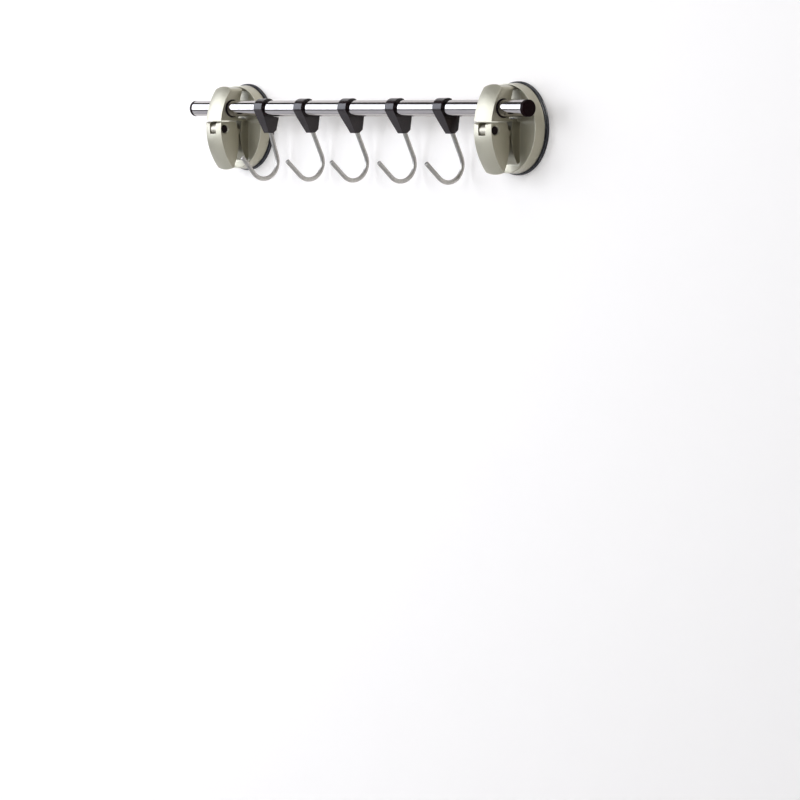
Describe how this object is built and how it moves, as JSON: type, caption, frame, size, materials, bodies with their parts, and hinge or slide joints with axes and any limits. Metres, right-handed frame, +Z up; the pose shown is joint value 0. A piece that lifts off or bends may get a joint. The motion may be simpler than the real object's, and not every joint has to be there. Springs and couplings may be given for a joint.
{
  "type": "suction cup hook rail",
  "caption": "Wall rail: a round metal tube held by lever-locked suction mounts, with clip-on J-hooks that slide along it.",
  "frame": {"origin": "on the wall plane, midway between the two suction pads, at the height of their centres", "axes": "+X along the rail to the viewer's right, +Y into the wall, +Z up"},
  "size_m": [0.4212, 0.0473, 0.0777],
  "materials": {
    "polished_tube": "polished",
    "black_cap": "fine matt",
    "clear_pad": "smooth, slightly glossy soft plastic",
    "black_rubber": "satin",
    "satin_nickel": "satin metallic paint on moulded plastic",
    "stud_metal": "satin",
    "black_pin": "blackened",
    "black_bush": "matt",
    "black_clip": "fine satin moulding",
    "hook_steel": "drawn wire, satin"
  },
  "bodies": {
    "rail": {"rail_tube": "polished_tube", "left_end_cap": "black_cap", "right_end_cap": "black_cap", "left_suction_pad": "clear_pad", "left_seal_ring": "black_rubber", "left_housing": "satin_nickel", "left_rail_bush": "black_bush", "right_suction_pad": "clear_pad", "right_seal_ring": "black_rubber", "right_housing": "satin_nickel", "right_rail_bush": "black_bush"},
    "left_stud": {"left_pull_stud": "stud_metal", "left_hinge_pin": "black_pin"},
    "left_lever": {"left_lever": "satin_nickel"},
    "right_stud": {"right_pull_stud": "stud_metal", "right_hinge_pin": "black_pin"},
    "right_lever": {"right_lever": "satin_nickel"},
    "hook_1": {"hook_1_clip": "black_clip", "hook_1_wire": "hook_steel"},
    "hook_2": {"hook_2_clip": "black_clip", "hook_2_wire": "hook_steel"},
    "hook_3": {"hook_3_clip": "black_clip", "hook_3_wire": "hook_steel"},
    "hook_4": {"hook_4_clip": "black_clip", "hook_4_wire": "hook_steel"},
    "hook_5": {"hook_5_clip": "black_clip", "hook_5_wire": "hook_steel"}
  },
  "joints": [
    {"name": "left_stud_slide", "type": "slide", "parent": "rail", "child": "left_stud", "axis": [0, 1, 0], "range_m": [0, 0.002], "deforming": ["left_suction_pad"]},
    {"name": "left_lever_hinge", "type": "hinge", "parent": "left_stud", "child": "left_lever", "pos_m": [-0.17, -0.0306, -0.0015], "axis": [-1, 0, 0], "range_deg": [0, 90]},
    {"name": "right_stud_slide", "type": "slide", "parent": "rail", "child": "right_stud", "axis": [0, 1, 0], "range_m": [0, 0.002], "deforming": ["right_suction_pad"]},
    {"name": "right_lever_hinge", "type": "hinge", "parent": "right_stud", "child": "right_lever", "pos_m": [0.17, -0.0306, -0.0015], "axis": [-1, 0, 0], "range_deg": [0, 90]},
    {"name": "hook_1_slide", "type": "slide", "parent": "rail", "child": "hook_1", "axis": [1, 0, 0], "range_m": [-0.014, 0.02]},
    {"name": "hook_2_slide", "type": "slide", "parent": "rail", "child": "hook_2", "axis": [1, 0, 0], "range_m": [-0.02, 0.022]},
    {"name": "hook_3_slide", "type": "slide", "parent": "rail", "child": "hook_3", "axis": [1, 0, 0], "range_m": [-0.022, 0.023]},
    {"name": "hook_4_slide", "type": "slide", "parent": "rail", "child": "hook_4", "axis": [1, 0, 0], "range_m": [-0.023, 0.022]},
    {"name": "hook_5_slide", "type": "slide", "parent": "rail", "child": "hook_5", "axis": [1, 0, 0], "range_m": [-0.022, 0.018]}
  ],
  "couplings": [
    {"joint": "left_lever_hinge", "follows": "left_stud_slide", "rad_per_m": 785.39},
    {"joint": "right_lever_hinge", "follows": "right_stud_slide", "rad_per_m": 785.39}
  ]
}
